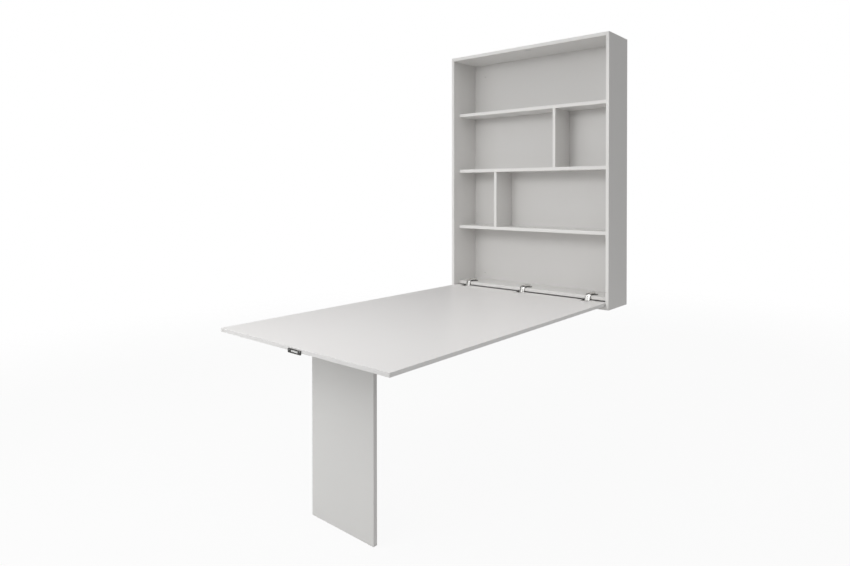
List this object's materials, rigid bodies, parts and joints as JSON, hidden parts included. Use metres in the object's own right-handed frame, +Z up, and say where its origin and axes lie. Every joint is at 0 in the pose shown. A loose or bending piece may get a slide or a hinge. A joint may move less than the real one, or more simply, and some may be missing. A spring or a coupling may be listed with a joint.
{
  "type": "secretary desk",
  "caption": "Wall-hung shelf cabinet whose drop-down front is a table top carried by a folding panel leg.",
  "frame": {"origin": "middle of the cabinet's back, on the wall plane", "axes": "+X along the wall to the right as the user faces the cabinet, +Y into the wall, +Z up"},
  "size_m": [1.08, 1.4925, 2.096],
  "materials": {
    "cabinet_board": "white melamine-faced board, satin",
    "back_board": "white faced board, satin",
    "table_board": "white melamine-faced board, satin",
    "leg_board": "white melamine-faced board, satin",
    "edge_band": "white edge band, satin",
    "beech": "plain beech",
    "zinc": "zinc plated",
    "nickel": "bright nickel plate",
    "dark_metal": "dark grey satin coat",
    "magnet_case": "white moulded case",
    "glide_plastic": "white nylon"
  },
  "bodies": {
    "cabinet": {"back_panel": "back_board", "back_screws": "zinc", "bottom_panel": "cabinet_board", "cam_bolts": "zinc", "cam_locks": "zinc", "catch_magnet": "magnet_case", "divider_lower": "cabinet_board", "divider_upper": "cabinet_board", "dowels": "beech", "hinge_arm_1": "nickel", "hinge_arm_2": "nickel", "hinge_arm_3": "nickel", "hinge_arm_screws": "zinc", "hinge_mount_1": "dark_metal", "hinge_mount_2": "dark_metal", "hinge_mount_3": "dark_metal", "hinge_mount_screws": "zinc", "hinge_pin_1": "nickel", "hinge_pin_2": "nickel", "hinge_pin_3": "nickel", "hinge_shelf": "cabinet_board", "shelf_lower": "cabinet_board", "shelf_middle": "cabinet_board", "shelf_upper": "cabinet_board", "side_panel_left": "cabinet_board", "side_panel_right": "cabinet_board", "top_panel": "cabinet_board"},
    "table": {"hinge_bracket_1": "nickel", "hinge_bracket_2": "nickel", "hinge_bracket_3": "nickel", "hinge_bracket_screws": "zinc", "leg_hinge_pin_1": "nickel", "leg_hinge_pin_2": "nickel", "leg_hinge_table_leaf_1": "nickel", "leg_hinge_table_leaf_2": "nickel", "leg_hinge_table_screws": "zinc", "pull_frame": "dark_metal", "pull_screws": "zinc", "pull_strike_bar": "nickel", "table_edge_band": "edge_band", "table_top": "table_board"},
    "leg": {"leg_edge_band": "edge_band", "leg_glides": "glide_plastic", "leg_hinge_leg_leaf_1": "nickel", "leg_hinge_leg_leaf_2": "nickel", "leg_hinge_leg_screws": "zinc", "leg_panel": "leg_board"}
  },
  "joints": [
    {"name": "table_fold", "type": "hinge", "parent": "cabinet", "child": "table", "pos_m": [0, -0.156, -0.666], "axis": [-1, 0, 0], "range_deg": [0, 90]},
    {"name": "leg_fold", "type": "hinge", "parent": "table", "child": "leg", "pos_m": [0, -1.28, -0.675], "axis": [1, 0, 0], "range_deg": [0, 90]}
  ]
}
